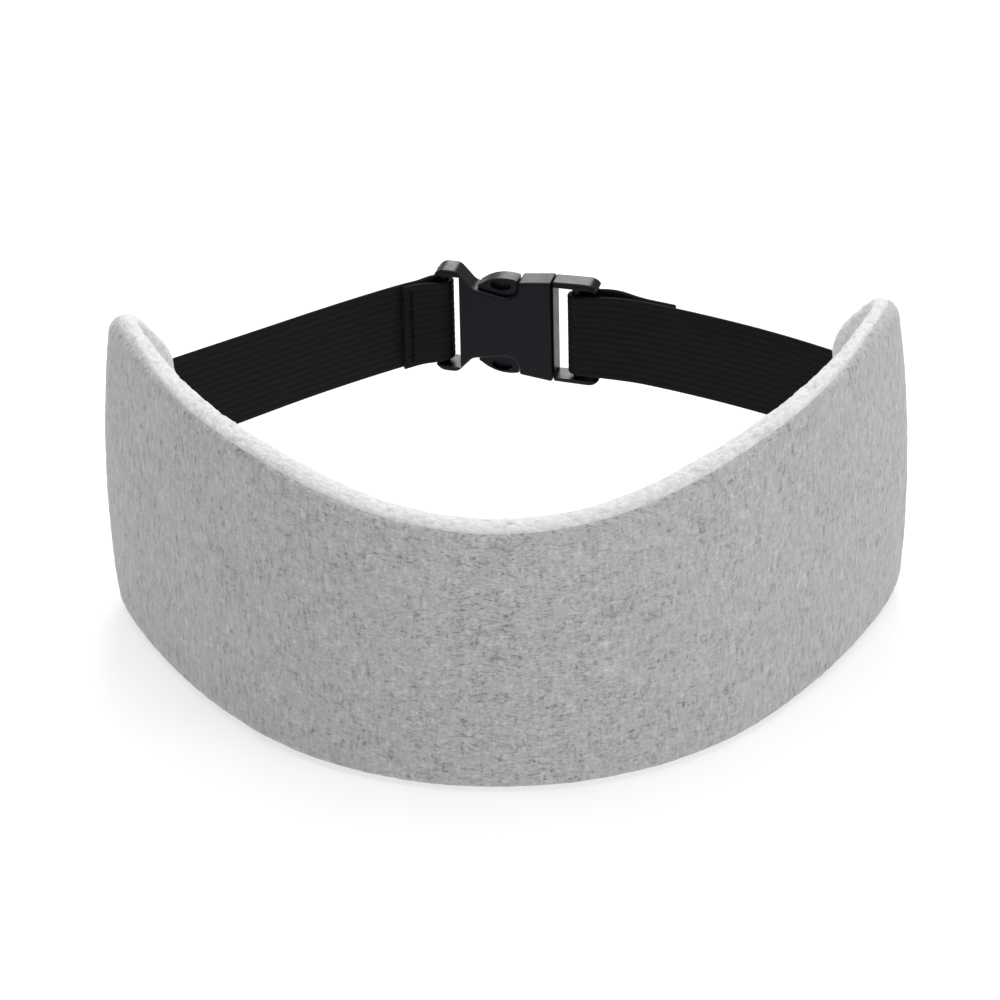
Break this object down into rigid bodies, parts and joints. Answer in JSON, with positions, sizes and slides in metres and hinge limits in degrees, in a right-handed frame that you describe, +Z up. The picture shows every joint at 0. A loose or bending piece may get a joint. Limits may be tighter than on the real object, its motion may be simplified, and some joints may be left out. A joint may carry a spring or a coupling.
{
  "type": "blackout eye mask",
  "caption": "C-shaped padded eye mask in velour with a plush lining and rim, held by a ribbed elastic head strap with a side-release buckle.",
  "frame": {"origin": "bottom centre of the whole mask's box, with the mask standing on its lower edge", "axes": "+X to the right seen from the front, +Y from the mask's front towards the buckle at the back of the head, +Z up"},
  "size_m": [0.193, 0.1626, 0.08],
  "materials": {
    "velour": "short-pile grey velour, matt",
    "plush": "white plush with a short fluffy pile",
    "foam": "open-cell foam",
    "interlining": "smooth opaque interlining",
    "grey_thread": "sewing thread",
    "elastic": "ribbed woven elastic, matt",
    "black_thread": "sewing thread",
    "buckle_plastic": "satin moulded acetal"
  },
  "bodies": {
    "root": {"outer_cover": "velour", "inner_lining": "plush", "foam_core": "foam", "blackout_layer": "interlining", "edge_seam_thread": "grey_thread", "left_strap": "elastic", "right_strap": "elastic", "left_anchor_stitches": "black_thread", "right_anchor_stitches": "black_thread", "left_fold_stitches": "black_thread", "buckle_socket": "buckle_plastic"},
    "plug": {"buckle_plug": "buckle_plastic"},
    "upper_latch": {"upper_latch_arm": "buckle_plastic"},
    "lower_latch": {"lower_latch_arm": "buckle_plastic"}
  },
  "joints": [
    {"name": "plug_slide", "type": "slide", "parent": "root", "child": "plug", "axis": [0.9613, -0.2756, 0], "range_m": [0, 0.022], "deforming": ["right_strap", "upper_latch_arm", "lower_latch_arm"]},
    {"name": "upper_latch_pinch", "type": "hinge", "parent": "plug", "child": "upper_latch", "pos_m": [0.01249, 0.07025, 0.04845], "axis": [-0.2756, -0.9613, 0], "range_deg": [0, 14], "stiffness_Nm_per_rad": 0.1},
    {"name": "lower_latch_pinch", "type": "hinge", "parent": "plug", "child": "lower_latch", "pos_m": [0.01249, 0.07025, 0.03185], "axis": [0.2756, 0.9613, 0], "range_deg": [0, 14], "stiffness_Nm_per_rad": 0.1}
  ]
}
